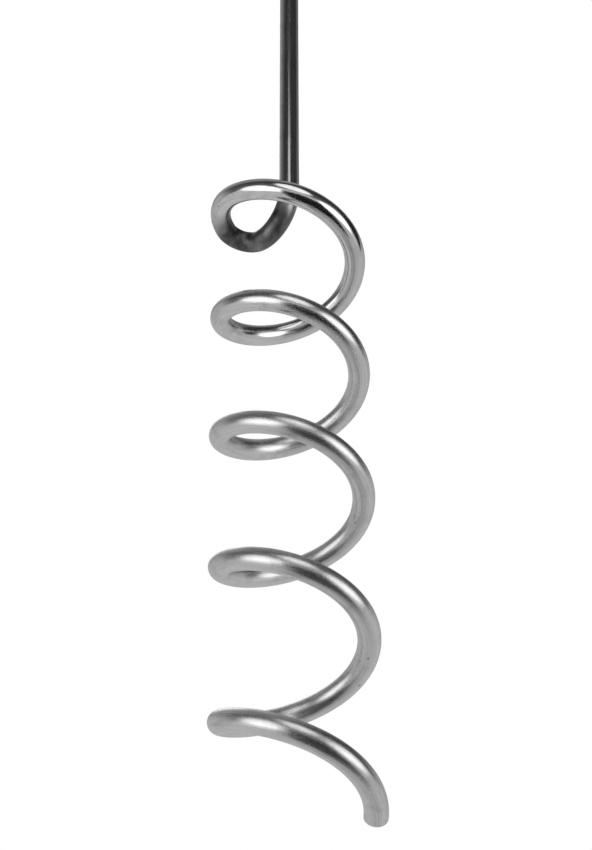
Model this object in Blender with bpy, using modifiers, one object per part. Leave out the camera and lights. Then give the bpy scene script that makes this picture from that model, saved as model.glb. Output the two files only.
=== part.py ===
"""Mortar mixing paddle: one steel bar bent into an open left-hand coil, welded to an M14 drive stud.

Units are metres and +Z points up the shaft, towards the mixing machine. The origin is on the spin
axis, in the plane of the shoulder that pulls up against the machine's spindle. The stud stands above
that plane and the coil hangs below it.
"""
import bpy
import math
from mathutils import Matrix, Vector

# ---------------------------------------------------------------- driving sizes

MM = 0.001

# overall
REACH = 600 * MM                # shoulder down to the centre of the bar's cut tip
BAR_DIAMETER = 12 * MM          # round drawn bar that the whole paddle is bent from

# coil
COIL_RADIUS = 36.1 * MM         # axis to bar centre at the tip
COIL_FLARE = 0.4 * MM           # radius gained on each turn up from the tip
TURNS = 4.4                     # helical turns, tip to the start of the levelling stretch
TIP_PITCH = 95.3 * MM           # rise per turn where the bar starts, at the tip
COIL_PITCH = 79.6 * MM          # rise per turn once the winding has settled
EASING_TURNS = 2.7              # turns over which the pitch settles
LEVELLING_TURNS = 0.172         # last piece of a turn, over which the pitch runs out to level
TIP_AZIMUTH = math.radians(5.8)
LEAN = math.radians(1.56)       # hand-bent coil hangs this far off the shaft's line
LEAN_AZIMUTH = math.radians(-59.2)
LEAN_PIVOT = 100 * MM           # the leaning line crosses the shaft's this far below the coil's top

# arm from the coil in to the axis
ARM_RISE = 11.6 * MM            # arm climbs this much on its way out from the axis
ARM_BEND = 12.1 * MM            # centre-line radius where the coil turns in to the arm
SHAFT_BEND = 20.5 * MM          # centre-line radius where the arm turns up into the shaft
BEND_SWELL = 0.04               # bar is squeezed this much thicker round the shaft bend
SWELL_REACH = 45 * MM           # and along the bar this far each way
TIP_EDGE = 1.2 * MM             # softened edge of the cut tip

# drive coupler
THREAD_DIAMETER = 14 * MM       # M14 x 2, the usual thread of hand-held mixers
STUD_LENGTH = 22 * MM
STUD_CHAMFER = 1.5 * MM
UNDERCUT_DIAMETER = 11.2 * MM
UNDERCUT_LENGTH = 3 * MM
HEX_ACROSS_FLATS = 22 * MM
HEX_HEIGHT = 14 * MM
HEX_CROWN = 26 * MM             # turned diameter that trims the hexagon's corners
CROWN_DROP = 1.6 * MM           # height of that trim
SHOULDER_DIAMETER = 20.5 * MM   # flat face left on top of the hexagon
SKIRT_DIAMETER = 20 * MM
SKIRT_HEIGHT = 14 * MM
SKIRT_CHAMFER = 1.5 * MM        # weld preparation on the skirt's lower edge
SOCKET_DEPTH = 20 * MM

# fits
GAP = 0.3 * MM                  # between surfaces that touch on the real paddle
WELD_LEG = 4.5 * MM             # length of bar under the skirt that the fillet weld covers
WELD_FULLNESS = 0.6 * MM        # rise of the weld's face over a straight one
WELD_RIPPLES = 18
STEPS_PER_RIPPLE = 4
RIPPLE_HEIGHT = 0.35 * MM

# mesh fineness
BAR_SIDES_LEVEL = 5             # curve bevel resolution: 14 sides round the bar
STEPS_PER_TURN = 44
ARC_STEP = math.radians(12)
TURNED_STEPS = 48
MERGE_DISTANCE = 0.01 * MM

# ---------------------------------------------------------------- derived sizes

BAR_RADIUS = BAR_DIAMETER / 2
COUPLER_HEIGHT = HEX_HEIGHT + SKIRT_HEIGHT
SOCKET_MOUTH = -COUPLER_HEIGHT
SOCKET_ROOF = SOCKET_MOUTH + SOCKET_DEPTH
BAR_TOP = SOCKET_ROOF - GAP
TIP_Z = -REACH


# ---------------------------------------------------------------- scene helpers

def clear_scene():
    for item in list(bpy.data.objects):
        bpy.data.objects.remove(item, do_unlink=True)


def new_collection(name):
    group = bpy.data.collections.new(name)
    bpy.context.scene.collection.children.link(group)
    return group


def steel(name, colour, roughness):
    """Bare or plated steel: metallic, told apart by tint and roughness."""
    material = bpy.data.materials.new(name)
    material.use_nodes = True
    shader = material.node_tree.nodes["Principled BSDF"]
    shader.inputs["Base Color"].default_value = (*colour, 1)
    shader.inputs["Metallic"].default_value = 1
    shader.inputs["Roughness"].default_value = roughness
    material.diffuse_color = (*colour, 1)
    return material


def paint(item, material):
    item.data.materials.clear()
    item.data.materials.append(material)


def select_only(item):
    bpy.ops.object.select_all(action="DESELECT")
    item.select_set(True)
    bpy.context.view_layer.objects.active = item


def apply_modifiers(item):
    select_only(item)
    for modifier in list(item.modifiers):
        bpy.ops.object.modifier_apply(modifier=modifier.name)


def weld_points(item):
    modifier = item.modifiers.new("weld", "WELD")
    modifier.merge_threshold = MERGE_DISTANCE
    apply_modifiers(item)


# ---------------------------------------------------------------- bar centre line

def climb(turn):
    """Height above the tip after this many turns. The pitch eases from TIP_PITCH to COIL_PITCH."""
    easing = (TIP_PITCH - COIL_PITCH) * EASING_TURNS / 3
    left = max(0.0, 1 - turn / EASING_TURNS)
    height = COIL_PITCH * turn + easing * (1 - left ** 3)
    past = max(0.0, turn - TURNS)
    return height - COIL_PITCH * past ** 2 / (2 * LEVELLING_TURNS)


def coil_point(turn):
    """Point on the left-hand coil: going up, it turns clockwise as seen from above."""
    angle = TIP_AZIMUTH - 2 * math.pi * turn
    radius = COIL_RADIUS + COIL_FLARE * turn
    height = climb(turn)
    below = climb(TURNS + LEVELLING_TURNS) - height
    drift = (below - LEAN_PIVOT) * math.tan(LEAN)
    x = radius * math.cos(angle) + drift * math.cos(LEAN_AZIMUTH)
    y = radius * math.sin(angle) + drift * math.sin(LEAN_AZIMUTH)
    return Vector((x, y, TIP_Z + height))


def coil_line():
    """Points of the coil from the level end at the top down to the tip."""
    last = TURNS + LEVELLING_TURNS
    count = math.ceil(last * STEPS_PER_TURN)
    return [coil_point(last * (1 - i / count)) for i in range(count + 1)]


def rounded_corner(before, corner, after, radius):
    """Arc of the given radius that rounds the corner of two straight runs."""
    back = (before - corner).normalized()
    ahead = (after - corner).normalized()
    half = back.angle(ahead) / 2
    trim = radius / math.tan(half)
    start = corner + back * trim
    centre = corner + (back + ahead).normalized() * radius / math.sin(half)
    spoke = start - centre
    axis = back.cross(ahead).normalized()
    sweep = math.pi - 2 * half
    count = math.ceil(sweep / ARC_STEP)
    turn = -sweep / count
    arc = []
    for i in range(count + 1):
        arc.append(centre + Matrix.Rotation(turn * i, 3, axis) @ spoke)
    return arc


def arm_corner(coil_end, heading, shaft_foot):
    """Corner of the arm, far enough along the coil's tangent that its arc starts on the coil."""
    reach = ARM_BEND
    for _ in range(20):
        corner = coil_end + heading * reach
        half = (shaft_foot - corner).angle(-heading) / 2
        reach = (reach + ARM_BEND / math.tan(half)) / 2
    return coil_end + heading * reach


def shaft_bend_radius(foot, corner, arm_arc_start):
    """SHAFT_BEND, or less where the arm's own bend leaves too little of it straight."""
    arm = corner - foot
    room = (arm_arc_start - foot).length
    half = arm.angle(Vector((0, 0, 1))) / 2
    return min(SHAFT_BEND, room * math.tan(half))


def softened_end(tip, outward):
    """Rings of a rounded edge at a cut end, each as a point and its share of the bar's radius."""
    rings = []
    for step in range(4):
        angle = math.radians(30 * step)
        point = tip - outward * TIP_EDGE * (1 - math.sin(angle))
        rings.append((point, 1 - TIP_EDGE / BAR_RADIUS * (1 - math.cos(angle))))
    return rings


def bar_line():
    """The bar's whole centre line, from its top in the socket down to the tip of the coil.

    Each entry is a point and the bar's thickness there, as a share of the drawn diameter.
    """
    coil = coil_line()
    heading = (coil[0] - coil[1]).normalized()
    top = Vector((0, 0, BAR_TOP))
    foot = Vector((0, 0, coil[0].z - ARM_RISE))
    corner = arm_corner(coil[0], heading, foot)
    arm_arc = rounded_corner(foot, corner, coil[0], ARM_BEND)
    shaft_arc = rounded_corner(top, foot, corner, shaft_bend_radius(foot, corner, arm_arc[0]))
    up = Vector((0, 0, 1))
    line = list(reversed(softened_end(top, up)))
    line += [(point, 1) for point in swell_stations(shaft_arc[0])]
    line += [(point, 1) for point in shaft_arc + arm_arc[:-1] + coil[:-1]]
    line += softened_end(coil[-1], (coil[-1] - coil[-2]).normalized())
    return [(point, share * swell((point - foot).length)) for point, share in line]


def swell_stations(bend_start):
    """Extra points on the straight shaft where the bar thickens towards the bend."""
    count = 5
    return [bend_start + Vector((0, 0, SWELL_REACH * (1 - i / count))) for i in range(count)]


def swell(distance):
    """Thickness round the shaft bend: full swell at the bend, none beyond SWELL_REACH."""
    near = max(0.0, 1 - (distance / SWELL_REACH) ** 2)
    return 1 + BEND_SWELL * near ** 2


# ---------------------------------------------------------------- pieces

def tube_along(name, line, radius):
    """Round bar swept along a line of (point, share of radius), with both ends capped."""
    curve = bpy.data.curves.new(name, "CURVE")
    curve.dimensions = "3D"
    curve.bevel_depth = radius
    curve.bevel_resolution = BAR_SIDES_LEVEL
    curve.use_fill_caps = True
    curve.twist_mode = "MINIMUM"
    spline = curve.splines.new("POLY")
    spline.points.add(len(line) - 1)
    for slot, (point, share) in zip(spline.points, line):
        slot.co = (*point, 1)
        slot.radius = share
    return bpy.data.objects.new(name, curve)


def make_bar(group, material):
    swept = tube_along("bar_sweep", bar_line(), BAR_RADIUS)
    group.objects.link(swept)
    bpy.context.view_layer.update()
    seen = swept.evaluated_get(bpy.context.evaluated_depsgraph_get())
    bar = bpy.data.objects.new("paddle_bar", bpy.data.meshes.new_from_object(seen))
    bpy.data.objects.remove(swept, do_unlink=True)
    group.objects.link(bar)
    weld_points(bar)
    paint(bar, material)
    return bar


def turned(name, profile, group, steps=TURNED_STEPS):
    """Solid of revolution about Z from (radius, height) points that run top to bottom."""
    mesh = bpy.data.meshes.new(name)
    points = [(radius, 0, height) for radius, height in profile]
    edges = [(i, i + 1) for i in range(len(points) - 1)]
    mesh.from_pydata(points, edges, [])
    item = bpy.data.objects.new(name, mesh)
    group.objects.link(item)
    screw = item.modifiers.new("turn", "SCREW")
    screw.steps = steps
    screw.render_steps = steps
    screw.use_merge_vertices = True
    screw.merge_threshold = MERGE_DISTANCE
    apply_modifiers(item)
    return item


def cut(item, tool, operation):
    modifier = item.modifiers.new(operation.lower(), "BOOLEAN")
    modifier.operation = operation
    modifier.solver = "EXACT"
    modifier.object = tool
    apply_modifiers(item)
    bpy.data.objects.remove(tool, do_unlink=True)


def coupler_blank():
    """Turned outline of the coupler: stud, undercut, domed hexagon crown, skirt and blind socket."""
    stud = THREAD_DIAMETER / 2
    neck = UNDERCUT_DIAMETER / 2
    skirt = SKIRT_DIAMETER / 2
    bore = BAR_RADIUS + GAP
    return [
        (0, STUD_LENGTH),
        (stud - STUD_CHAMFER, STUD_LENGTH),
        (stud, STUD_LENGTH - STUD_CHAMFER),
        (stud, UNDERCUT_LENGTH + stud - neck),
        (neck, UNDERCUT_LENGTH),
        (neck, 0),
        (SHOULDER_DIAMETER / 2, 0),
        (HEX_CROWN / 2, -CROWN_DROP),
        (HEX_CROWN / 2, -HEX_HEIGHT + CROWN_DROP),
        (SHOULDER_DIAMETER / 2, -HEX_HEIGHT),
        (skirt, -HEX_HEIGHT),
        (skirt, SOCKET_MOUTH + SKIRT_CHAMFER),
        (skirt - SKIRT_CHAMFER, SOCKET_MOUTH),
        (bore, SOCKET_MOUTH),
        (bore, SOCKET_ROOF),
        (0, SOCKET_ROOF),
    ]


def hexagon_bar(group):
    """Hexagon stock as long as the coupler, with the stud and the skirt left room to pass."""
    corner_radius = HEX_ACROSS_FLATS / math.sqrt(3)
    height = COUPLER_HEIGHT + STUD_LENGTH + 2 * MM
    bpy.ops.mesh.primitive_cylinder_add(vertices=6, radius=corner_radius, depth=height)
    item = bpy.context.object
    item.name = "hexagon_stock"
    item.location.z = (STUD_LENGTH - COUPLER_HEIGHT) / 2
    for owner in list(item.users_collection):
        owner.objects.unlink(item)
    group.objects.link(item)
    return item


def make_coupler(group, cutters, material):
    """Hexagon stock turned down to the blank's outline, leaving six flats on the crown."""
    coupler = turned("drive_coupler", coupler_blank(), group)
    cut(coupler, hexagon_bar(cutters), "INTERSECT")
    paint(coupler, material)
    return coupler


def weld_edges():
    """Radius and height of the bead's two edges: the rim in the skirt's chamfer, the toe on the bar."""
    foot = SKIRT_DIAMETER / 2 - SKIRT_CHAMFER + GAP * (math.sqrt(2) - 1)
    climb_up_chamfer = SKIRT_CHAMFER * 0.9
    rim = Vector((foot + climb_up_chamfer, SOCKET_MOUTH - GAP + climb_up_chamfer))
    toe = Vector((BAR_RADIUS + GAP, SOCKET_MOUTH - GAP - WELD_LEG))
    return rim, toe


def weld_section():
    """Section that fills the skirt's chamfer and comes down a slightly full face to the bar."""
    rim, toe = weld_edges()
    top = SOCKET_MOUTH - GAP
    outward = weld_outward(rim, toe)
    steps = 5
    face = []
    for i in range(steps + 1):
        share = i / steps
        face.append(rim.lerp(toe, share) + outward * WELD_FULLNESS * math.sin(math.pi * share))
    back = [(toe.x, top), (rim.x + top - rim.y, top)]
    return back + [tuple(point) for point in face] + [(toe.x, top)]


def weld_outward(rim, toe):
    along = toe - rim
    return Vector((-along.y, along.x)).normalized()


def make_weld(group, material):
    """Ring of weld round the bar under the skirt, its face rippled as a hand-laid bead is."""
    weld = turned("weld_bead", weld_section(), group, WELD_RIPPLES * STEPS_PER_RIPPLE)
    rim, toe = weld_edges()
    outward = weld_outward(rim, toe)
    for vertex in weld.data.vertices:
        spoke = Vector((vertex.co.x, vertex.co.y, 0))
        fullness = (Vector((spoke.length, vertex.co.z)) - rim).dot(outward)
        azimuth = math.atan2(spoke.y, spoke.x)
        crest = (1 + math.cos(WELD_RIPPLES * azimuth)) / 2
        ripple = RIPPLE_HEIGHT * crest * max(0.0, fullness) / WELD_FULLNESS
        vertex.co += spoke.normalized() * ripple
    paint(weld, material)
    return weld


def finish(item, smooth_angle):
    """Faces turned outward and curved faces shaded smooth."""
    select_only(item)
    bpy.ops.object.mode_set(mode="EDIT")
    bpy.ops.mesh.select_all(action="SELECT")
    bpy.ops.mesh.normals_make_consistent(inside=False)
    bpy.ops.object.mode_set(mode="OBJECT")
    bpy.ops.object.shade_smooth_by_angle(angle=smooth_angle)


def main():
    clear_scene()
    paddle = new_collection("mortar mixing paddle")
    cutters = new_collection("cutters")
    cutters.hide_render = True
    drawn = steel("bright drawn steel bar", (0.56, 0.56, 0.57), 0.26)
    turned_steel = steel("turned zinc-plated steel", (0.60, 0.60, 0.58), 0.30)
    weld_metal = steel("mild steel weld", (0.36, 0.35, 0.34), 0.48)
    pieces = [
        make_bar(paddle, drawn),
        make_coupler(paddle, cutters, turned_steel),
        make_weld(paddle, weld_metal),
    ]
    for piece in pieces:
        finish(piece, math.radians(35))


main()
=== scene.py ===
import bpy
import math
import random
from mathutils import Matrix, Vector


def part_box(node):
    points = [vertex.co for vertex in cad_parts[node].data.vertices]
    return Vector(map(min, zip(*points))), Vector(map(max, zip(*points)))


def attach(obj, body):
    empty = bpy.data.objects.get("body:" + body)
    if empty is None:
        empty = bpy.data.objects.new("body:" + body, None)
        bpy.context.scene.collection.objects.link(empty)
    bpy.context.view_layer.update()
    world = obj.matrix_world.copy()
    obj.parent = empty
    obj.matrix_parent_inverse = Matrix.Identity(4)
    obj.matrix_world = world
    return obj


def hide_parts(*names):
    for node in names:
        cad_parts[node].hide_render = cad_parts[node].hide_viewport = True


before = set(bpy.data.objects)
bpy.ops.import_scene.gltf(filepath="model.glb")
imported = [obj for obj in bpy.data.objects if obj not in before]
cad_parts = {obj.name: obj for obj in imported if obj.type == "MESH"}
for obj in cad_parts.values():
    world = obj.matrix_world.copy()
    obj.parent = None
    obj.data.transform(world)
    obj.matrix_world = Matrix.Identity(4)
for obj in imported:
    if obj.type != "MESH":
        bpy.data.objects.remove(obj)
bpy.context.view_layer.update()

COUPLER_LOW, COUPLER_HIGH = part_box("drive_coupler")
BAR_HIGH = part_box("paddle_bar")[1]
WELD_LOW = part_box("weld_bead")[0]

bl_info = {
    "name": "Mortar mixing paddle",
    "version": (1, 0, 0),
    "blender": (4, 5, 0),
    "location": "View3D > Sidebar > Mixing paddle",
    "description": "Models a coiled mortar mixing paddle, its welded drive coupler and a studio",
    "category": "Add Mesh",
}

MM = 0.001
BAR_TIP_LEVEL = -600 * MM
SOLID_STEPS = 44      # steps per turn of the bar's solid
SKIN_INSET = 0.14 * MM  # the round bar stays inside its faceted solid's box
SOCKET_GAP = 0.3 * MM
SPATTER_COUNT = 12
SPATTER_SEED = 7


# ---------------------------------------------------------------- sizes and finishes

class PaddleSizes(bpy.types.PropertyGroup):
    """Sizes of the bent bar. They are the solid's own, so both follow one centre line."""

    bar_diameter: bpy.props.FloatProperty(
        name="Bar diameter", description="Thickness of the drawn round bar",
        default=12 * MM, unit="LENGTH")
    coil_radius: bpy.props.FloatProperty(
        name="Coil radius", description="Axis to bar centre at the tip of the coil",
        default=36.1 * MM, unit="LENGTH")
    coil_flare: bpy.props.FloatProperty(
        name="Coil flare", description="Radius gained on each turn up from the tip",
        default=0.4 * MM, unit="LENGTH")
    turns: bpy.props.FloatProperty(
        name="Turns", description="Helical turns below the levelling stretch", default=4.4)
    tip_pitch: bpy.props.FloatProperty(
        name="Tip pitch", description="Rise per turn at the tip", default=95.3 * MM, unit="LENGTH")
    coil_pitch: bpy.props.FloatProperty(
        name="Coil pitch", description="Rise per turn once the winding has settled",
        default=79.6 * MM, unit="LENGTH")
    easing_turns: bpy.props.FloatProperty(
        name="Easing turns", description="Turns over which the pitch settles", default=2.7)
    levelling_turns: bpy.props.FloatProperty(
        name="Levelling turns", description="Part of a turn over which the coil runs out level",
        default=0.172)
    tip_azimuth: bpy.props.FloatProperty(
        name="Tip azimuth", description="Direction of the tip from the axis",
        default=math.radians(5.8), subtype="ANGLE")
    lean: bpy.props.FloatProperty(
        name="Lean", description="Angle of the coil's axis off the shaft",
        default=math.radians(1.56), subtype="ANGLE")
    lean_azimuth: bpy.props.FloatProperty(
        name="Lean azimuth", description="Direction in which the coil leans",
        default=math.radians(-59.2), subtype="ANGLE")
    lean_pivot: bpy.props.FloatProperty(
        name="Lean pivot", description="Depth below the coil's top where the lean crosses the axis",
        default=100 * MM, unit="LENGTH")
    arm_rise: bpy.props.FloatProperty(
        name="Arm rise", description="Climb of the arm on its way out from the axis",
        default=11.6 * MM, unit="LENGTH")
    arm_bend: bpy.props.FloatProperty(
        name="Arm bend", description="Centre-line radius where the coil turns in to the arm",
        default=12.1 * MM, unit="LENGTH")
    shaft_bend: bpy.props.FloatProperty(
        name="Shaft bend", description="Centre-line radius where the arm turns up to the shaft",
        default=20.5 * MM, unit="LENGTH")
    bend_swell: bpy.props.FloatProperty(
        name="Bend swell", description="Extra thickness of the bar round the shaft bend",
        default=0.04, subtype="FACTOR")
    swell_reach: bpy.props.FloatProperty(
        name="Swell reach", description="Distance along the bar that the swell reaches",
        default=45 * MM, unit="LENGTH")
    tip_edge: bpy.props.FloatProperty(
        name="Tip edge", description="Softened edge of the cut tip", default=1.2 * MM,
        unit="LENGTH")
    turn_steps: bpy.props.IntProperty(
        name="Steps per turn", description="Rings of faces on each turn of the coil", default=110)
    side_level: bpy.props.IntProperty(
        name="Side level", description="Bevel resolution of the bar's round section", default=14)


class CouplerSizes(bpy.types.PropertyGroup):
    """Sizes of the turned coupler and its M14 x 2 thread, and of the weld under it."""

    stud_diameter: bpy.props.FloatProperty(
        name="Stud diameter", description="Over the thread's crests", default=14 * MM, unit="LENGTH")
    thread_pitch: bpy.props.FloatProperty(
        name="Thread pitch", description="Rise of the thread on each turn", default=2 * MM,
        unit="LENGTH")
    thread_depth: bpy.props.FloatProperty(
        name="Thread depth", description="Crest to root of the thread", default=1.2 * MM,
        unit="LENGTH")
    stud_chamfer: bpy.props.FloatProperty(
        name="Stud chamfer", description="Bevel on the end of the stud", default=1.5 * MM,
        unit="LENGTH")
    undercut_diameter: bpy.props.FloatProperty(
        name="Undercut diameter", description="Relief between thread and shoulder",
        default=11.2 * MM, unit="LENGTH")
    undercut_length: bpy.props.FloatProperty(
        name="Undercut length", description="Height of the relief", default=3 * MM, unit="LENGTH")
    across_flats: bpy.props.FloatProperty(
        name="Across flats", description="Spanner size of the hexagon", default=22 * MM,
        unit="LENGTH")
    hexagon_height: bpy.props.FloatProperty(
        name="Hexagon height", description="Height of the hexagon", default=14 * MM, unit="LENGTH")
    crown_diameter: bpy.props.FloatProperty(
        name="Crown diameter", description="Turned diameter that trims the hexagon's corners",
        default=25.4 * MM, unit="LENGTH")
    crown_drop: bpy.props.FloatProperty(
        name="Crown drop", description="Height of the trimmed corners", default=1.6 * MM,
        unit="LENGTH")
    shoulder_diameter: bpy.props.FloatProperty(
        name="Shoulder diameter", description="Flat seat on top of the hexagon",
        default=20.5 * MM, unit="LENGTH")
    skirt_diameter: bpy.props.FloatProperty(
        name="Skirt diameter", description="Turned sleeve that the bar is welded into",
        default=20 * MM, unit="LENGTH")
    skirt_chamfer: bpy.props.FloatProperty(
        name="Skirt chamfer", description="Weld preparation on the sleeve's lower edge",
        default=1.5 * MM, unit="LENGTH")
    socket_depth: bpy.props.FloatProperty(
        name="Socket depth", description="How far the bar goes into the coupler",
        default=20 * MM, unit="LENGTH")
    edge_break: bpy.props.FloatProperty(
        name="Edge break", description="Softened machined edges", default=0.3 * MM, unit="LENGTH")
    bead_count: bpy.props.IntProperty(
        name="Bead ripples", description="Overlapping ripples in the weld bead", default=30)


class StageSizes(bpy.types.PropertyGroup):
    """Camera, floor and lights."""

    lens: bpy.props.FloatProperty(
        name="Lens", description="Focal length of the camera", default=80.34, subtype="DISTANCE_CAMERA")
    distance: bpy.props.FloatProperty(
        name="Camera distance", description="Camera to the point it looks at",
        default=1000.7 * MM, unit="LENGTH")
    elevation: bpy.props.FloatProperty(
        name="Camera elevation", description="Height angle of the camera; below level is negative",
        default=math.radians(-34.65), subtype="ANGLE")
    roll: bpy.props.FloatProperty(
        name="Camera roll", description="Turn about the camera's own line of sight",
        default=math.radians(-0.19), subtype="ANGLE")
    target: bpy.props.FloatVectorProperty(
        name="Target", description="Point the camera looks at",
        default=(3.6 * MM, 0, -377.6 * MM), subtype="XYZ")
    # painted light: how strongly the floor glows though it is no lamp, against paper
    floor_level: bpy.props.FloatProperty(
        name="Floor level", description="Height of the floor", default=-1550 * MM, unit="LENGTH")
    floor_painted_light: bpy.props.FloatProperty(
        name="Floor glow", description="Light that the floor gives out from below, against paper",
        default=0.48)
    floor_size: bpy.props.FloatProperty(
        name="Floor size", description="Diameter of the round floor", default=40.0, unit="LENGTH")


# ---------------------------------------------------------------- small tools

def linear(hex_colour):
    """sRGB hex, such as B8B9BA, to a linear RGBA colour."""
    channels = [int(hex_colour[i:i + 2], 16) / 255 for i in (0, 2, 4)]
    straight = [c / 12.92 if c <= 0.04045 else ((c + 0.055) / 1.055) ** 2.4 for c in channels]
    return (*straight, 1)


def add_node(tree, kind, inputs=None, links=None, **settings):
    """Adds a node, sets its properties and input values, and links its inputs."""
    node = tree.nodes.new(kind)
    for name, value in settings.items():
        setattr(node, name, value)
    for name, value in (inputs or {}).items():
        node.inputs[name].default_value = value
    for name, socket in (links or {}).items():
        tree.links.new(socket, node.inputs[name])
    return node


def new_material(name):
    material = bpy.data.materials.new(name)
    material.use_nodes = True
    return material, material.node_tree, material.node_tree.nodes["Principled BSDF"]


def deselect_all():
    if bpy.context.object and bpy.context.object.mode != "OBJECT":
        bpy.ops.object.mode_set(mode="OBJECT")
    bpy.ops.object.select_all(action="DESELECT")


def select_only(piece):
    deselect_all()
    piece.select_set(True)
    bpy.context.view_layer.objects.active = piece


def apply_modifiers(piece):
    select_only(piece)
    for modifier in list(piece.modifiers):
        bpy.ops.object.modifier_apply(modifier=modifier.name)


def join_all(piece, others):
    select_only(piece)
    for other in others:
        other.select_set(True)
    bpy.ops.object.join()


def clean_up(piece, merge=0.001 * MM):
    """Merges doubles and turns the faces outward."""
    select_only(piece)
    bpy.ops.object.mode_set(mode="EDIT")
    bpy.ops.mesh.select_all(action="SELECT")
    bpy.ops.mesh.remove_doubles(threshold=merge)
    bpy.ops.mesh.normals_make_consistent(inside=False)
    bpy.ops.object.mode_set(mode="OBJECT")


def place_in_mesh(piece):
    select_only(piece)
    bpy.ops.object.transform_apply(location=True, rotation=True, scale=True)


def finish_piece(piece, stands_for, material, smooth_angle=35):
    piece.data.materials.clear()
    piece.data.materials.append(material)
    select_only(piece)
    bpy.ops.object.shade_smooth_by_angle(angle=math.radians(smooth_angle))
    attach(piece, "root")
    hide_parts(stands_for)


# ---------------------------------------------------------------- the bar's centre line

def climb(sizes, turn):
    """Height above the tip after this many turns."""
    easing = (sizes.tip_pitch - sizes.coil_pitch) * sizes.easing_turns / 3
    left = max(0.0, 1 - turn / sizes.easing_turns)
    past = max(0.0, turn - sizes.turns)
    height = sizes.coil_pitch * turn + easing * (1 - left ** 3)
    return height - sizes.coil_pitch * past ** 2 / (2 * sizes.levelling_turns)


def coil_point(sizes, turn, tip_level):
    """Point on the left-hand coil: going up, it turns clockwise as seen from above."""
    angle = sizes.tip_azimuth - 2 * math.pi * turn
    radius = sizes.coil_radius + sizes.coil_flare * turn
    height = climb(sizes, turn)
    below = climb(sizes, sizes.turns + sizes.levelling_turns) - height
    drift = (below - sizes.lean_pivot) * math.tan(sizes.lean)
    x = radius * math.cos(angle) + drift * math.cos(sizes.lean_azimuth)
    y = radius * math.sin(angle) + drift * math.sin(sizes.lean_azimuth)
    return Vector((x, y, tip_level + height))


def coil_line(sizes, tip_level):
    last = sizes.turns + sizes.levelling_turns
    count = math.ceil(last * sizes.turn_steps)
    return [coil_point(sizes, last * (1 - i / count), tip_level) for i in range(count + 1)]


def coil_top(sizes):
    """Upper end of the coil and its heading there, over the solid's own step along the coil."""
    last = sizes.turns + sizes.levelling_turns
    end = coil_point(sizes, last, BAR_TIP_LEVEL)
    before = coil_point(sizes, last * (1 - 1 / math.ceil(last * SOLID_STEPS)), BAR_TIP_LEVEL)
    return end, (end - before).normalized()


def rounded_corner(before, corner, after, radius, step=math.radians(4)):
    """Arc of the given radius that rounds the corner of two straight runs."""
    back = (before - corner).normalized()
    ahead = (after - corner).normalized()
    half = back.angle(ahead) / 2
    start = corner + back * radius / math.tan(half)
    centre = corner + (back + ahead).normalized() * radius / math.sin(half)
    spoke = start - centre
    axis = back.cross(ahead).normalized()
    sweep = math.pi - 2 * half
    count = math.ceil(sweep / step)
    return [centre + Matrix.Rotation(-sweep * i / count, 3, axis) @ spoke for i in range(count + 1)]


def arm_corner(sizes, coil_end, heading, shaft_foot):
    """Corner of the arm, far enough along the coil's tangent that its arc starts on the coil."""
    reach = sizes.arm_bend
    for _ in range(20):
        corner = coil_end + heading * reach
        half = (shaft_foot - corner).angle(-heading) / 2
        reach = (reach + sizes.arm_bend / math.tan(half)) / 2
    return coil_end + heading * reach


def shaft_bend_radius(sizes, foot, corner, arm_arc_start):
    """The shaft bend, or less where the arm's own bend leaves too little of it straight."""
    arm = corner - foot
    room = (arm_arc_start - foot).length
    half = arm.angle(Vector((0, 0, 1))) / 2
    return min(sizes.shaft_bend, room * math.tan(half))


def softened_end(sizes, tip, outward):
    """Rings of a rounded edge at a cut end, each as a point and its share of the bar's radius."""
    edge = sizes.tip_edge
    rings = []
    for angle in (math.radians(15 * step) for step in range(7)):
        shrink = edge / (sizes.bar_diameter / 2) * (1 - math.cos(angle))
        rings.append((tip - outward * edge * (1 - math.sin(angle)), 1 - shrink))
    return rings


def bar_line(sizes):
    """Centre line from the bar's top in the socket to its tip, with its share of thickness."""
    coil = coil_line(sizes, BAR_TIP_LEVEL)
    heading = coil_top(sizes)[1]
    top = Vector((0, 0, BAR_HIGH.z))
    foot = Vector((0, 0, coil[0].z - sizes.arm_rise))
    corner = arm_corner(sizes, coil[0], heading, foot)
    arm_arc = rounded_corner(foot, corner, coil[0], sizes.arm_bend)
    shaft_radius = shaft_bend_radius(sizes, foot, corner, arm_arc[0])
    shaft_arc = rounded_corner(top, foot, corner, shaft_radius)
    straight = straight_stations(top - Vector((0, 0, 2 * sizes.tip_edge)), shaft_arc[0])
    line = list(reversed(softened_end(sizes, top, Vector((0, 0, 1)))))
    line += [(point, 1) for point in straight + shaft_arc + arm_arc[:-1] + coil[:-1]]
    line += softened_end(sizes, coil[-1], (coil[-1] - coil[-2]).normalized())
    return [(point, share * swell(sizes, (point - foot).length)) for point, share in line]


def bar_radius():
    return bpy.context.scene.paddle_sizes.bar_diameter / 2 - SKIN_INSET


def straight_stations(start, end, spacing=3 * MM):
    count = math.ceil((end - start).length / spacing)
    return [start.lerp(end, i / count) for i in range(count)]


def swell(sizes, distance):
    """Thickness round the shaft bend: full swell at the bend, none beyond its reach."""
    near = max(0.0, 1 - (distance / sizes.swell_reach) ** 2)
    return 1 + sizes.bend_swell * near ** 2


# ---------------------------------------------------------------- materials

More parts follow.
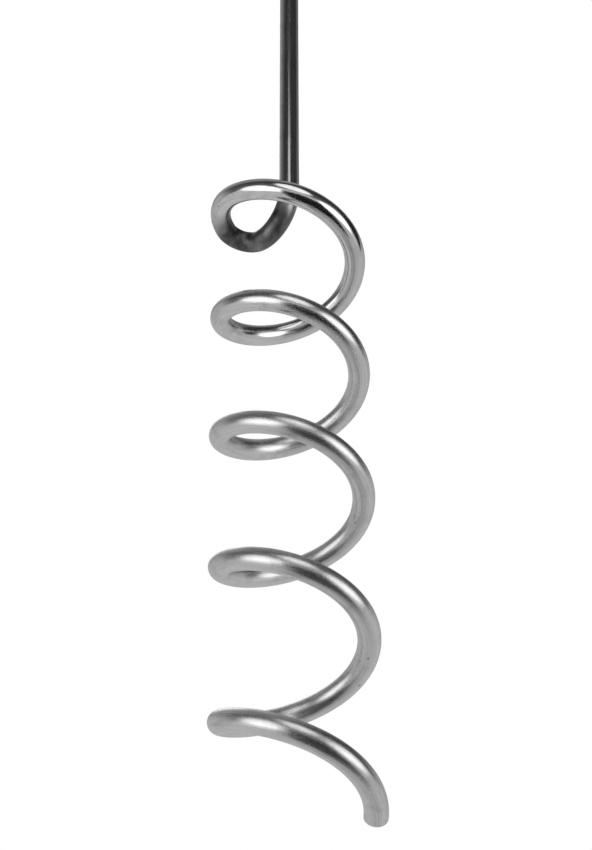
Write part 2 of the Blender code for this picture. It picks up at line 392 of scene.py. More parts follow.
def drawn_steel():
    """Bright zinc-plated drawn bar, polished at the shaft and frosted by mortar towards the tip."""
    material, tree, shader = new_material("bright zinc-plated drawn steel")
    straight = add_node(tree, "ShaderNodeAttribute", attribute_name="straight_bar")
    heated = add_node(tree, "ShaderNodeAttribute", attribute_name="heated")
    along = add_node(tree, "ShaderNodeSeparateXYZ", links={"Vector": straight.outputs["Vector"]})
    wear = add_node(
        tree, "ShaderNodeMapRange", interpolation_type="SMOOTHSTEP",
        inputs={"From Min": 330 * MM, "From Max": 760 * MM},
        links={"Value": along.outputs["X"]})
    lines = die_lines(tree, straight.outputs["Vector"])
    grain = frost_grain(tree, straight.outputs["Vector"])
    # clouds about 9 mm wide, in the plating and in the heat scale
    cloud = add_node(
        tree, "ShaderNodeTexNoise", inputs={"Scale": 110, "Detail": 4, "Roughness": 0.6},
        links={"Vector": straight.outputs["Vector"]})
    pits = small_pits(tree, straight.outputs["Vector"])
    bright = drawn_colour(tree, lines, cloud)
    scaled = heat_colour(tree, bright, heated, cloud)
    marked = add_node(
        tree, "ShaderNodeMix", data_type="RGBA", inputs={"B": linear("565656")},
        links={"Factor": pits.outputs["Result"], "A": scaled.outputs["Result"]})
    rough = drawn_roughness(tree, lines, grain, wear, heated, pits)
    relief = drawn_relief(tree, lines, grain, wear)
    tangent = add_node(tree, "ShaderNodeTangent", direction_type="UV_MAP", uv_map="round_and_along")
    shader.inputs["Metallic"].default_value = 1
    shader.inputs["Anisotropic"].default_value = 0.4
    tree.links.new(marked.outputs["Result"], shader.inputs["Base Color"])
    tree.links.new(rough.outputs["Value"], shader.inputs["Roughness"])
    tree.links.new(relief.outputs["Normal"], shader.inputs["Normal"])
    tree.links.new(tangent.outputs["Tangent"], shader.inputs["Tangent"])
    return material


def die_lines(tree, place):
    """Die lines along the bar, 0.5 mm wide and 45 mm long: drawn coarser than real to show."""
    stretched = add_node(
        tree, "ShaderNodeMapping", inputs={"Scale": (22, 2100, 2100)}, links={"Vector": place})
    return add_node(
        tree, "ShaderNodeTexNoise", inputs={"Scale": 1, "Detail": 3, "Roughness": 0.65},
        links={"Vector": stretched.outputs["Vector"]})


def frost_grain(tree, place):
    """Sparkling grain of the zinc, worn by mortar: specks about 0.5 mm wide and 1 mm long."""
    stretched = add_node(
        tree, "ShaderNodeMapping", inputs={"Scale": (900, 1900, 1900)}, links={"Vector": place})
    return add_node(
        tree, "ShaderNodeTexNoise", inputs={"Scale": 1, "Detail": 2, "Roughness": 0.7},
        links={"Vector": stretched.outputs["Vector"]})


def small_pits(tree, place):
    """A few dark pits and short nicks, one for every square centimetre or two."""
    stretched = add_node(
        tree, "ShaderNodeMapping", inputs={"Scale": (110, 240, 240)}, links={"Vector": place})
    cells = add_node(
        tree, "ShaderNodeTexVoronoi", inputs={"Scale": 1, "Randomness": 1},
        links={"Vector": stretched.outputs["Vector"]})
    chance = add_node(tree, "ShaderNodeSeparateColor", links={"Color": cells.outputs["Color"]})
    size = add_node(
        tree, "ShaderNodeMapRange", inputs={"From Min": 0.74, "From Max": 1, "To Min": 0, "To Max": 0.12},
        links={"Value": chance.outputs["Red"]})
    inside = add_node(
        tree, "ShaderNodeMath", operation="SUBTRACT",
        links={0: size.outputs["Result"], 1: cells.outputs["Distance"]})
    return add_node(
        tree, "ShaderNodeMapRange", inputs={"From Min": -0.03, "From Max": 0.05},
        links={"Value": inside.outputs["Value"]})


def drawn_colour(tree, lines, cloud):
    """Near-white zinc, greyer along some die lines and in soft clouds."""
    tone = add_node(
        tree, "ShaderNodeMapRange", inputs={"From Min": 0.32, "From Max": 0.68},
        links={"Value": lines.outputs["Fac"]})
    streaked = add_node(
        tree, "ShaderNodeMix", data_type="RGBA", inputs={"A": linear("B8B8B8"), "B": linear("D4D4D4")},
        links={"Factor": tone.outputs["Result"]})
    dull = add_node(
        tree, "ShaderNodeMapRange", inputs={"From Min": 0.5, "From Max": 0.72, "To Min": 0, "To Max": 0.45},
        links={"Value": cloud.outputs["Fac"]})
    return add_node(
        tree, "ShaderNodeMix", data_type="RGBA", inputs={"B": linear("9A9A9A")},
        links={"Factor": dull.outputs["Result"], "A": streaked.outputs["Result"]})


def heat_colour(tree, bright, heated, cloud):
    """Dark scale where the bar was heated for the tight bends, blotched light and dark."""
    blotch = add_node(
        tree, "ShaderNodeMapRange", inputs={"From Min": 0.38, "From Max": 0.68},
        links={"Value": cloud.outputs["Fac"]})
    scale = add_node(
        tree, "ShaderNodeMix", data_type="RGBA", inputs={"A": linear("474747"), "B": linear("7C7C7C")},
        links={"Factor": blotch.outputs["Result"]})
    return add_node(
        tree, "ShaderNodeMix", data_type="RGBA",
        links={"Factor": heated.outputs["Fac"], "A": bright.outputs["Result"], "B": scale.outputs["Result"]})


def drawn_roughness(tree, lines, grain, wear, heated, pits):
    """Glossy by the shaft, satin by the tip, matt on the heat scale and in the pits."""
    polish = add_node(
        tree, "ShaderNodeMapRange", inputs={"To Min": 0.12, "To Max": 0.31},
        links={"Value": wear.outputs["Result"]})
    speckle = add_node(
        tree, "ShaderNodeMapRange",
        inputs={"From Min": 0.3, "From Max": 0.7, "To Min": -0.05, "To Max": 0.07},
        links={"Value": grain.outputs["Fac"]})
    streak = add_node(
        tree, "ShaderNodeMapRange",
        inputs={"From Min": 0.3, "From Max": 0.7, "To Min": -0.04, "To Max": 0.06},
        links={"Value": lines.outputs["Fac"]})
    marks = add_node(
        tree, "ShaderNodeMath", operation="ADD",
        links={0: speckle.outputs["Result"], 1: streak.outputs["Result"]})
    metal = add_node(
        tree, "ShaderNodeMath", operation="ADD",
        links={0: polish.outputs["Result"], 1: marks.outputs["Value"]})
    matt = add_node(
        tree, "ShaderNodeMath", operation="MAXIMUM",
        links={0: heated.outputs["Fac"], 1: pits.outputs["Result"]})
    extra = add_node(
        tree, "ShaderNodeMath", operation="MULTIPLY", inputs={1: 0.32}, links={0: matt.outputs["Value"]})
    return add_node(
        tree, "ShaderNodeMath", operation="ADD", use_clamp=True,
        links={0: metal.outputs["Value"], 1: extra.outputs["Value"]})


def drawn_relief(tree, lines, grain, wear):
    """Die lines that break the reflections into streaks, and grain that grows with the wear."""
    kept = add_node(
        tree, "ShaderNodeMapRange", inputs={"To Min": 0.55, "To Max": 0.25},
        links={"Value": wear.outputs["Result"]})
    streaks = add_node(
        tree, "ShaderNodeBump", inputs={"Distance": 0.02 * MM},
        links={"Strength": kept.outputs["Result"], "Height": lines.outputs["Fac"]})
    depth = add_node(
        tree, "ShaderNodeMapRange", inputs={"To Min": 0.1, "To Max": 0.3},
        links={"Value": wear.outputs["Result"]})
    return add_node(
        tree, "ShaderNodeBump", inputs={"Distance": 0.03 * MM},
        links={"Strength": depth.outputs["Result"], "Height": grain.outputs["Fac"],
               "Normal": streaks.outputs["Normal"]})


def turned_steel():
    """Zinc-plated turned steel: fine rings round the axis break its highlights."""
    material, tree, shader = new_material("turned zinc-plated steel")
    place = add_node(tree, "ShaderNodeTexCoord")
    axes = add_node(tree, "ShaderNodeSeparateXYZ", links={"Vector": place.outputs["Object"]})
    flat = add_node(
        tree, "ShaderNodeVectorMath", operation="MULTIPLY", inputs={1: (1, 1, 0)},
        links={0: place.outputs["Object"]})
    radius = add_node(
        tree, "ShaderNodeVectorMath", operation="LENGTH", links={0: flat.outputs["Vector"]})
    # rings follow the radius on end faces and the height on sides, so flats get straight lines
    facing = add_node(tree, "ShaderNodeSeparateXYZ", links={"Vector": place.outputs["Normal"]})
    endwise = add_node(
        tree, "ShaderNodeMath", operation="ABSOLUTE", links={0: facing.outputs["Z"]})
    sidewise = add_node(
        tree, "ShaderNodeMath", operation="SUBTRACT", inputs={0: 1},
        links={1: endwise.outputs["Value"]})
    face_ring = add_node(
        tree, "ShaderNodeMath", operation="MULTIPLY",
        links={0: radius.outputs["Value"], 1: endwise.outputs["Value"]})
    side_ring = add_node(
        tree, "ShaderNodeMath", operation="MULTIPLY",
        links={0: axes.outputs["Z"], 1: sidewise.outputs["Value"]})
    section = add_node(
        tree, "ShaderNodeCombineXYZ",
        links={"X": face_ring.outputs["Value"], "Z": side_ring.outputs["Value"]})
    # rings about 0.4 mm apart, coarser than a lathe's feed so that they show
    rings = add_node(
        tree, "ShaderNodeTexNoise", inputs={"Scale": 2600, "Detail": 2, "Roughness": 0.6},
        links={"Vector": section.outputs["Vector"]})
    # plating clouds about 6 mm wide
    blotch = add_node(
        tree, "ShaderNodeTexNoise", inputs={"Scale": 160, "Detail": 4, "Roughness": 0.6},
        links={"Vector": place.outputs["Object"]})
    tone = add_node(
        tree, "ShaderNodeMapRange", inputs={"From Min": 0.35, "From Max": 0.7},
        links={"Value": blotch.outputs["Fac"]})
    colour = add_node(
        tree, "ShaderNodeMix", data_type="RGBA", inputs={"A": linear("BEBEBC"), "B": linear("979795")},
        links={"Factor": tone.outputs["Result"]})
    rough = add_node(
        tree, "ShaderNodeMapRange", inputs={"From Min": 0.3, "From Max": 0.7, "To Min": 0.2, "To Max": 0.36},
        links={"Value": rings.outputs["Fac"]})
    relief = add_node(
        tree, "ShaderNodeBump", inputs={"Strength": 0.35, "Distance": 0.02 * MM},
        links={"Height": rings.outputs["Fac"]})
    shader.inputs["Metallic"].default_value = 1
    tree.links.new(colour.outputs["Result"], shader.inputs["Base Color"])
    tree.links.new(rough.outputs["Result"], shader.inputs["Roughness"])
    tree.links.new(relief.outputs["Normal"], shader.inputs["Normal"])
    return material


def weld_metal():
    """Wire-brushed weld: darker and duller than the plating, with a crusty grain."""
    material, tree, shader = new_material("wire-brushed mild steel weld")
    place = add_node(tree, "ShaderNodeTexCoord")
    # crust about 1 mm across
    crust = add_node(
        tree, "ShaderNodeTexNoise", inputs={"Scale": 900, "Detail": 4, "Roughness": 0.65},
        links={"Vector": place.outputs["Object"]})
    tone = add_node(
        tree, "ShaderNodeMapRange", inputs={"From Min": 0.35, "From Max": 0.68},
        links={"Value": crust.outputs["Fac"]})
    colour = add_node(
        tree, "ShaderNodeMix", data_type="RGBA", inputs={"A": linear("7C7A77"), "B": linear("A3A29F")},
        links={"Factor": tone.outputs["Result"]})
    rough = add_node(
        tree, "ShaderNodeMapRange", inputs={"From Min": 0.3, "From Max": 0.7, "To Min": 0.34, "To Max": 0.56},
        links={"Value": crust.outputs["Fac"]})
    relief = add_node(
        tree, "ShaderNodeBump", inputs={"Strength": 0.4, "Distance": 0.06 * MM},
        links={"Height": crust.outputs["Fac"]})
    shader.inputs["Metallic"].default_value = 1
    tree.links.new(colour.outputs["Result"], shader.inputs["Base Color"])
    tree.links.new(rough.outputs["Result"], shader.inputs["Roughness"])
    tree.links.new(relief.outputs["Normal"], shader.inputs["Normal"])
    return material


# ---------------------------------------------------------------- the bar

class PADDLE_OT_bent_bar(bpy.types.Operator):
    """Models the one bar that the shaft, arm and coil are bent from"""

    bl_idname = "mixing_paddle.bent_bar"
    bl_label = "Bent bar"
    bl_options = {"REGISTER", "UNDO"}

    def execute(self, context):
        sizes = context.scene.paddle_sizes
        line = bar_line(sizes)
        piece = sweep_bar(sizes, line)
        mark_straight_bar(piece, sizes, line)
        mark_heated_bends(piece, sizes)
        finish_piece(piece, "paddle_bar", drawn_steel(), 40)
        return {"FINISHED"}


def sweep_bar(sizes, line):
    """A path along the centre line, given its round section and made a mesh."""
    deselect_all()
    bpy.ops.curve.primitive_nurbs_path_add(location=(0, 0, 0))
    piece = bpy.context.object
    piece.name = "bent_bar"
    curve = piece.data
    curve.splines.clear()
    route = curve.splines.new("POLY")
    route.points.add(len(line) - 1)
    for slot, (point, share) in zip(route.points, line):
        slot.co = (*point, 1)
        slot.radius = share
    curve.bevel_depth = bar_radius()
    curve.bevel_resolution = sizes.side_level
    curve.use_fill_caps = True
    curve.twist_mode = "MINIMUM"
    select_only(piece)
    bpy.ops.object.convert(target="MESH")
    piece = bpy.context.object
    clean_up(piece)
    return piece


def mark_straight_bar(piece, sizes, line):
    """Stores where each point lay on the bar before it was bent, and a UV map round and along it."""
    mesh = piece.data
    sides = 4 + 2 * sizes.side_level
    rings = len(line)
    if len(mesh.vertices) != sides * rings:
        raise RuntimeError(f"the bar has {len(mesh.vertices)} points, not {sides * rings}")
    lengths = [0.0]
    for (a, _), (b, _) in zip(line, line[1:]):
        lengths.append(lengths[-1] + (b - a).length)
    straight = mesh.attributes.new("straight_bar", "FLOAT_VECTOR", "POINT")
    for index in range(len(mesh.vertices)):
        ring, side = divmod(index, sides)
        angle = 2 * math.pi * side / sides
        radius = sizes.bar_diameter / 2 * line[ring][1]
        straight.data[index].vector = (lengths[ring], radius * math.cos(angle), radius * math.sin(angle))
    girth = math.pi * sizes.bar_diameter
    uv = mesh.uv_layers.new(name="round_and_along")
    for polygon in mesh.polygons:
        places = [divmod(mesh.loops[i].vertex_index, sides) for i in polygon.loop_indices]
        crosses = max(side for _, side in places) - min(side for _, side in places) > sides / 2
        for loop, (ring, side) in zip(polygon.loop_indices, places):
            turn = side + sides if crosses and side < sides / 2 else side
            uv.data[loop].uv = (girth * turn / sides, lengths[ring])


def mark_heated_bends(piece, sizes):
    """Stores how strongly each point was heated: fully on the arm, less beside the weld."""
    arm = arm_middle(sizes)
    weld_toe = Vector((0, 0, WELD_LOW.z))
    heated = piece.data.attributes.new("heated", "FLOAT", "POINT")
    for index, vertex in enumerate(piece.data.vertices):
        at_arm = fading((vertex.co - arm).length, 21 * MM, 16 * MM)
        at_weld = fading((vertex.co - weld_toe).length, 5 * MM, 16 * MM)
        heated.data[index].value = max(at_arm, 0.7 * at_weld)


def fading(distance, full, reach):
    """1 up to the full distance, easing to 0 over the reach beyond it."""
    far = min(1.0, max(0.0, (distance - full) / reach))
    return 1 - far * far * (3 - 2 * far)


def arm_middle(sizes):
    coil_end, heading = coil_top(sizes)
    foot = Vector((0, 0, coil_end.z - sizes.arm_rise))
    corner = arm_corner(sizes, coil_end, heading, foot)
    return (foot + corner) / 2


# ---------------------------------------------------------------- drive coupler

def turned(name, rings, sides=96):
    """Closed solid lathed from (radius, height) rings, as a circle that is extruded and scaled."""
    start_radius, height = rings[0]
    deselect_all()
    bpy.ops.mesh.primitive_circle_add(
        vertices=sides, radius=start_radius, fill_type="NGON", location=(0, 0, height))
    piece = bpy.context.object
    piece.name = name
    bpy.ops.object.mode_set(mode="EDIT")
    bpy.ops.mesh.select_mode(type="EDGE")
    bpy.ops.mesh.select_all(action="SELECT")
    bpy.ops.mesh.region_to_loop()
    radius = start_radius
    for next_radius, next_height in rings[1:]:
        bpy.ops.mesh.extrude_edges_indiv()
        bpy.ops.transform.translate(value=(0, 0, next_height - height))
        share = next_radius / radius
        bpy.ops.transform.resize(value=(share, share, 1), center_override=(0, 0, next_height))
        radius, height = next_radius, next_height
    bpy.ops.mesh.edge_face_add()
    bpy.ops.object.mode_set(mode="OBJECT")
    place_in_mesh(piece)
    clean_up(piece)
    return piece


def combine(piece, tool, operation):
    """Boolean of two closed solids; the tool goes."""
    modifier = piece.modifiers.new(operation.lower(), "BOOLEAN")
    modifier.operation = operation
    modifier.solver = "EXACT"
    modifier.object = tool
    apply_modifiers(piece)
    bpy.data.objects.remove(tool, do_unlink=True)


def coupler_rings(sizes):
    """Outline of the body from the neck's root down the crown and skirt and up into the socket."""
    neck = sizes.undercut_diameter / 2
    shoulder = sizes.shoulder_diameter / 2
    crown = sizes.crown_diameter / 2
    skirt = sizes.skirt_diameter / 2
    bore = bar_radius() + SOCKET_GAP
    foot = COUPLER_LOW.z
    hexagon_foot = -sizes.hexagon_height
    edge = sizes.edge_break
    return [
        (neck, sizes.undercut_length + edge),
        (neck, edge),
        (neck + edge, 0),
        (shoulder, 0),
        (crown, -sizes.crown_drop),
        (crown, hexagon_foot + sizes.crown_drop),
        (shoulder, hexagon_foot),
        (skirt + edge, hexagon_foot),
        (skirt, hexagon_foot - edge),
        (skirt, foot + sizes.skirt_chamfer),
        (skirt - sizes.skirt_chamfer, foot),
        (bore, foot),
        (bore, foot + sizes.socket_depth),
    ]


def hexagon_stock(sizes):
    """Hexagon bar with flats towards +X and -X, longer than the coupler."""
    corner_radius = sizes.across_flats / math.sqrt(3)
    deselect_all()
    bpy.ops.mesh.primitive_cylinder_add(
        vertices=6, radius=corner_radius, depth=4 * sizes.hexagon_height + 4 * sizes.across_flats)
    return bpy.context.object


def thread_ridge(sizes):
    """One long helical ridge: a trapezoid turned up round the axis, a pitch on each turn."""
    crest = sizes.stud_diameter / 2 + sizes.edge_break
    root = sizes.stud_diameter / 2 - sizes.thread_depth - sizes.edge_break
    deselect_all()
    bpy.ops.mesh.primitive_plane_add(size=1)
    ridge = bpy.context.object
    ridge.rotation_euler = (math.pi / 2, 0, 0)
    ridge.scale = (crest - root, sizes.thread_pitch * 0.96, 1)
    place_in_mesh(ridge)
    bpy.ops.object.mode_set(mode="EDIT")
    bpy.ops.mesh.select_mode(type="VERT")
    bpy.ops.mesh.select_all(action="DESELECT")
    bpy.ops.object.mode_set(mode="OBJECT")
    for vertex in ridge.data.vertices:
        vertex.select = vertex.co.x > 0
    bpy.ops.object.mode_set(mode="EDIT")
    bpy.ops.transform.resize(value=(1, 1, 0.06), center_override=(0, 0, 0))
    bpy.ops.mesh.select_all(action="SELECT")
    bpy.ops.transform.translate(value=((crest + root) / 2, 0, sizes.thread_pitch / 2))
    bpy.ops.mesh.delete(type="ONLY_FACE")
    bpy.ops.object.mode_set(mode="OBJECT")
    screw = ridge.modifiers.new("thread", "SCREW")
    screw.screw_offset = sizes.thread_pitch
    screw.iterations = math.ceil(COUPLER_HIGH.z / sizes.thread_pitch)
    screw.steps = 56
    screw.render_steps = 56
    apply_modifiers(ridge)
    bpy.ops.object.mode_set(mode="EDIT")
    bpy.ops.mesh.select_all(action="SELECT")
    bpy.ops.mesh.fill_holes(sides=4)
    bpy.ops.mesh.normals_make_consistent(inside=False)
    bpy.ops.object.mode_set(mode="OBJECT")
    return ridge


def threaded_stud(sizes):
    """Core with the ridge on it, trimmed to the stud's chamfered outline."""
    outer = sizes.stud_diameter / 2
    core = outer - sizes.thread_depth
    neck = sizes.undercut_diameter / 2
    start = sizes.undercut_length - sizes.edge_break
    end = COUPLER_HIGH.z
    spare = sizes.thread_pitch
    stud = turned("threaded_stud", [(core, start - spare), (core, end + spare)])
    combine(stud, thread_ridge(sizes), "UNION")
    outline = turned("outline", [
        (neck, start),
        (neck, sizes.undercut_length),
        (outer, sizes.undercut_length + outer - neck),
        (outer, end - sizes.stud_chamfer),
        (outer - sizes.stud_chamfer, end),
    ])
    combine(stud, outline, "INTERSECT")
    clean_up(stud)
    return stud


class PADDLE_OT_drive_coupler(bpy.types.Operator):
    """Models the turned hexagon coupler and its threaded stud"""

    bl_idname = "mixing_paddle.drive_coupler"
    bl_label = "Drive coupler"
    bl_options = {"REGISTER", "UNDO"}

    def execute(self, context):
        sizes = context.scene.coupler_sizes
        steel = turned_steel()
        body = turned("coupler_body", coupler_rings(sizes))
        combine(body, hexagon_stock(sizes), "INTERSECT")
        finish_piece(body, "drive_coupler", steel, 30)
        finish_piece(threaded_stud(sizes), "drive_coupler", steel, 30)
        return {"FINISHED"}


# ---------------------------------------------------------------- weld

def weld_ring(sizes):
    """Plain fillet ring between the bar and the chamfer of the skirt."""
    inner = bar_radius() + SOCKET_GAP / 2
    skirt = sizes.skirt_diameter / 2
    foot = COUPLER_LOW.z
    leg = foot - WELD_LOW.z
    chamfer = sizes.skirt_chamfer
    return turned("weld_bead", [
        (inner, foot - leg * 0.9),
        (inner + leg * 0.45, foot - leg * 0.55),
        (skirt - chamfer * 0.15, foot - chamfer * 0.1),
        (skirt - chamfer * 0.06, foot + chamfer * 0.68),
        (skirt - chamfer, foot + chamfer * 0.68),
        (skirt - chamfer, foot - SOCKET_GAP),
        (inner, foot - SOCKET_GAP),
    ])


def add_ripples(ring, sizes):
    """Overlapping slanted lenses of weld metal, one for each dip of the rod, melted into one."""
    foot = COUPLER_LOW.z
    leg = foot - WELD_LOW.z
    middle = (bar_radius() + sizes.skirt_diameter / 2) / 2
    ripples = []
    for index in range(sizes.bead_count):
        azimuth = 2 * math.pi * index / sizes.bead_count
        deselect_all()
        bpy.ops.mesh.primitive_uv_sphere_add(segments=24, ring_count=12, radius=1)
        ripple = bpy.context.object
        uneven = 1 + 0.05 * math.sin(5 * azimuth) + 0.03 * math.sin(11 * azimuth + 1)
        ripple.scale = (leg * 0.25, leg * 0.22 * uneven, leg * 0.58 * uneven)
        ripple.rotation_euler = (math.radians(22), math.radians(32), azimuth)
        ripple.location = (middle * math.cos(azimuth), middle * math.sin(azimuth), foot - leg * 0.40)
        ripples.append(ripple)
    join_all(ring, ripples)
    blend = ring.modifiers.new("blend", "REMESH")
    blend.mode = "VOXEL"
    blend.voxel_size = 0.2 * MM
    relax = ring.modifiers.new("relax", "SMOOTH")
    relax.factor = 0.5
    relax.iterations = 2
    apply_modifiers(ring)
    clean_up(ring)


def weld_spatter(sizes):
    """Beads of spatter stuck to the skirt and to the bar beside the weld."""
    dice = random.Random(SPATTER_SEED)
    skirt = sizes.skirt_diameter / 2
    beads = []
    for index in range(SPATTER_COUNT):
        on_bar = index % 3 == 0
        if on_bar:
            radius = bar_radius()
            height = WELD_LOW.z - dice.uniform(1.5, 9) * MM
        else:
            radius = skirt
            height = COUPLER_LOW.z + dice.uniform(2, 7) * MM
        azimuth = dice.uniform(0, 2 * math.pi)
        size = dice.uniform(0.25, 0.5) * MM
        deselect_all()
        bpy.ops.mesh.primitive_ico_sphere_add(
            subdivisions=3, radius=size,
            location=(radius * math.cos(azimuth), radius * math.sin(azimuth), height))
        bead = bpy.context.object
        bead.scale = (0.6, 1, 1)
        bead.rotation_euler.z = azimuth
        beads.append(bead)
    spatter = beads[0]
    spatter.name = "weld_spatter"
    join_all(spatter, beads[1:])
    place_in_mesh(spatter)
    return spatter


class PADDLE_OT_weld(bpy.types.Operator):
    """Models the rippled weld bead and the spatter round it"""

    bl_idname = "mixing_paddle.weld"
    bl_label = "Weld"
    bl_options = {"REGISTER", "UNDO"}

    def execute(self, context):
        sizes = context.scene.coupler_sizes
        metal = weld_metal()
        bead = weld_ring(sizes)
        add_ripples(bead, sizes)
        finish_piece(bead, "weld_bead", metal, 60)
        finish_piece(weld_spatter(sizes), "weld_bead", metal, 60)
        return {"FINISHED"}


# ---------------------------------------------------------------- stage

def aim(item, direction):
    item.rotation_euler = direction.to_track_quat("-Z", "Y").to_euler()


def compass(azimuth, elevation):
    """Unit vector: azimuth clockwise from the far side (+Y), elevation up from level."""
    across = math.cos(elevation)
    return Vector((math.sin(azimuth) * across, math.cos(azimuth) * across, math.sin(elevation)))


class PADDLE_OT_stage(bpy.types.Operator):
    """Sets up the floor, the studio light and the camera"""

    bl_idname = "mixing_paddle.stage"
    bl_label = "Stage"
    bl_options = {"REGISTER", "UNDO"}

    def execute(self, context):
        stage = context.scene.paddle_stage
        add_camera(context, stage)
        add_floor(stage)
        add_softboxes(stage)
        add_flags(stage)
        studio_world(context)
        context.scene.view_settings.view_transform = "Standard"
        return {"FINISHED"}


def add_camera(context, stage):
    level = stage.elevation
    back = Vector((0, -math.cos(level), math.sin(level)))
    deselect_all()
    bpy.ops.object.camera_add(location=Vector(stage.target) + back * stage.distance)
    camera = bpy.context.object
    camera.name = "camera"
    turn = Matrix.Rotation(stage.roll, 4, back)
    camera.rotation_euler = (turn @ back.to_track_quat("Z", "Y").to_matrix().to_4x4()).to_euler()
    camera.data.lens = stage.lens
    camera.data.clip_start = 0.01
    context.scene.camera = camera


def add_floor(stage):
    deselect_all()
    bpy.ops.mesh.primitive_circle_add(
        vertices=128, radius=stage.floor_size / 2, fill_type="NGON",
        location=(0, 0, stage.floor_level))
    floor = bpy.context.object
    floor.name = "floor"
    # painted light and painted shadow: the floor's own emission lights it, dimmer in front of the paddle
    material, tree, shader = new_material("pale floor with painted light and painted shadow")
    shader.inputs["Base Color"].default_value = linear("E6E6E6")
    shader.inputs["Roughness"].default_value = 0.7
    shader.inputs["Emission Color"].default_value = linear("FFFFFF")
    # painted light: the floor glows though it is no lamp, and a painted shadow dims the glow near a point 0.5
    # m in front of the paddle
    place = add_node(tree, "ShaderNodeTexCoord")
    from_front = add_node(
        tree, "ShaderNodeVectorMath", operation="ADD", inputs={1: (0, 0.5, 0)},
        links={0: place.outputs["Object"]})
    away = add_node(
        tree, "ShaderNodeVectorMath", operation="LENGTH", links={0: from_front.outputs["Vector"]})
    glow = add_node(
        tree, "ShaderNodeMapRange", interpolation_type="SMOOTHSTEP",
        inputs={"From Min": 0.1, "From Max": 2.4, "To Min": 0.1, "To Max": stage.floor_painted_light},
        links={"Value": away.outputs["Value"]})
    tree.links.new(glow.outputs["Result"], shader.inputs["Emission Strength"])
    floor.data.materials.append(material)


# name, azimuth and elevation in degrees, distance, width and height in metres, brightness against paper
SOFTBOXES = (
    ("left softbox", -127, -11, 1.5, 1.75, 1.55, 1.18),
    ("right softbox", 127, -10, 1.5, 1.60, 1.60, 1.20),
    ("front softbox", 177, 24, 3.0, 2.60, 2.65, 1.20),
    ("rear strip light", -18, 48, 1.5, 0.65, 1.05, 1.05),
)


def add_softboxes(stage):
    middle = Vector(stage.target)
    for name, azimuth, elevation, distance, width, height, brightness in SOFTBOXES:
        direction = compass(math.radians(azimuth), math.radians(elevation))
        deselect_all()
        bpy.ops.object.light_add(type="AREA", location=middle + direction * distance)
        light = bpy.context.object
        light.name = name
        aim(light, -direction)
        light.data.shape = "RECTANGLE"
        light.data.size = width
        light.data.size_y = height
        # a panel as bright as white paper gives out 4 W from each square metre
        light.data.energy = 4 * width * height * brightness
        light.visible_camera = False
        soft_edges(light.data)


def soft_edges(lamp):
    """Cloth of the softbox: even in the middle, fading over the outer part of the panel."""
    lamp.use_nodes = True
    tree = lamp.node_tree
    emission = tree.nodes["Emission"]
    place = add_node(tree, "ShaderNodeNewGeometry")
    centred = add_node(
        tree, "ShaderNodeVectorMath", operation="SUBTRACT", inputs={1: (0.5, 0.5, 0)},
        links={0: place.outputs["Parametric"]})
    across = add_node(
        tree, "ShaderNodeVectorMath", operation="LENGTH", links={0: centred.outputs["Vector"]})
    fade = add_node(
        tree, "ShaderNodeMapRange", interpolation_type="SMOOTHSTEP",
        inputs={"From Min": 0.36, "From Max": 0.53, "To Min": 1, "To Max": 0},
        links={"Value": across.outputs["Value"]})
    tree.links.new(fade.outputs["Result"], emission.inputs["Strength"])


# name, azimuth and elevation in degrees, distance, width and height in metres
FLAGS = (
    ("black_flag_low", 180, -53, 0.95, 1.15, 1.33),
    ("black_flag_right", 91, 20, 1.5, 0.36, 1.20),
    ("black_flag_near", 90, 29, 0.42, 0.22, 0.36),
)


def add_flags(stage):
    """Black cards, which the steel mirrors as its dark bands."""
    velvet, _, shader = new_material("black velvet flag")
    shader.inputs["Base Color"].default_value = linear("0C0C0C")
    shader.inputs["Roughness"].default_value = 0.9
    for name, azimuth, elevation, distance, width, height in FLAGS:
        direction = compass(math.radians(azimuth), math.radians(elevation))
        deselect_all()
        bpy.ops.mesh.primitive_plane_add(size=1)
        flag = bpy.context.object
        flag.name = name
        flag.scale = (width, height, 1)
        flag.location = Vector(stage.target) + direction * distance
        flag.rotation_euler = direction.to_track_quat("Z", "Y").to_euler()
        flag.visible_camera = False
        flag.visible_shadow = False
        flag.visible_diffuse = False
        flag.data.materials.append(velvet)


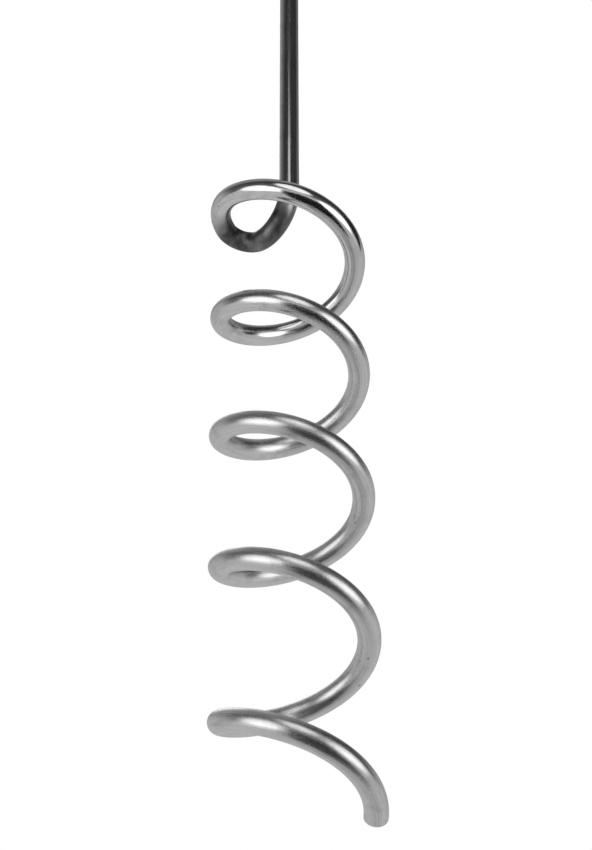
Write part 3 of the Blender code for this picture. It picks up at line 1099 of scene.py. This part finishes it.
def studio_world(context):
    """White to the camera; to the steel, a room that is dim overhead and paler behind the paddle."""
    world = bpy.data.worlds.new("studio")
    context.scene.world = world
    world.use_nodes = True
    tree = world.node_tree
    tree.nodes.clear()
    place = add_node(tree, "ShaderNodeTexCoord")
    axes = add_node(tree, "ShaderNodeSeparateXYZ", links={"Vector": place.outputs["Generated"]})
    far = add_node(
        tree, "ShaderNodeMapRange", interpolation_type="SMOOTHSTEP",
        inputs={"From Min": -0.05, "From Max": 0.4, "To Min": 0.12, "To Max": 0.6},
        links={"Value": axes.outputs["Y"]})
    high = add_node(
        tree, "ShaderNodeMapRange", interpolation_type="SMOOTHSTEP",
        inputs={"From Min": 0.35, "From Max": 0.72, "To Min": 1, "To Max": 0.35},
        links={"Value": axes.outputs["Z"]})
    walls = add_node(
        tree, "ShaderNodeMath", operation="MULTIPLY",
        links={0: far.outputs["Result"], 1: high.outputs["Result"]})
    overhead = add_node(
        tree, "ShaderNodeVectorMath", operation="DOT_PRODUCT",
        inputs={1: compass(math.radians(-60), math.radians(72))},
        links={0: place.outputs["Generated"]})
    ceiling = add_node(
        tree, "ShaderNodeMapRange", interpolation_type="SMOOTHSTEP",
        inputs={"From Min": 0.72, "From Max": 0.95, "To Min": 0, "To Max": 0.28},
        links={"Value": overhead.outputs["Value"]})
    room = add_node(
        tree, "ShaderNodeMath", operation="ADD",
        links={0: walls.outputs["Value"], 1: ceiling.outputs["Result"]})
    seen = add_node(tree, "ShaderNodeLightPath")
    light = add_node(
        tree, "ShaderNodeBackground", inputs={"Color": linear("FFFFFF")},
        links={"Strength": room.outputs["Value"]})
    white = add_node(tree, "ShaderNodeBackground", inputs={"Color": linear("FFFFFF"), "Strength": 1})
    pick = add_node(
        tree, "ShaderNodeMixShader",
        links={0: seen.outputs["Is Camera Ray"], 1: light.outputs["Background"],
               2: white.outputs["Background"]})
    add_node(tree, "ShaderNodeOutputWorld", links={"Surface": pick.outputs["Shader"]})


# ---------------------------------------------------------------- sidebar

class PADDLE_PT_sidebar(bpy.types.Panel):
    """Lists the paddle's pieces and sizes"""

    bl_idname = "PADDLE_PT_sidebar"
    bl_label = "Mixing paddle"
    bl_space_type = "VIEW_3D"
    bl_region_type = "UI"
    bl_category = "Mixing paddle"

    def draw(self, context):
        for maker in OPERATORS:
            self.layout.operator(maker.bl_idname)
        scene = context.scene
        for owner in (scene.paddle_sizes, scene.coupler_sizes, scene.paddle_stage):
            box = self.layout.box()
            for name in owner.__annotations__:
                box.prop(owner, name)


OPERATORS = (PADDLE_OT_bent_bar, PADDLE_OT_drive_coupler, PADDLE_OT_weld, PADDLE_OT_stage)
CLASSES = (PaddleSizes, CouplerSizes, StageSizes, *OPERATORS, PADDLE_PT_sidebar)


def register():
    for item in CLASSES:
        bpy.utils.register_class(item)
    bpy.types.Scene.paddle_sizes = bpy.props.PointerProperty(type=PaddleSizes)
    bpy.types.Scene.coupler_sizes = bpy.props.PointerProperty(type=CouplerSizes)
    bpy.types.Scene.paddle_stage = bpy.props.PointerProperty(type=StageSizes)


def unregister():
    del bpy.types.Scene.paddle_stage
    del bpy.types.Scene.coupler_sizes
    del bpy.types.Scene.paddle_sizes
    for item in reversed(CLASSES):
        bpy.utils.unregister_class(item)


def main():
    register()
    bpy.ops.mixing_paddle.stage()
    bpy.ops.mixing_paddle.bent_bar()
    bpy.ops.mixing_paddle.drive_coupler()
    bpy.ops.mixing_paddle.weld()


if __name__ == "__main__":
    main()
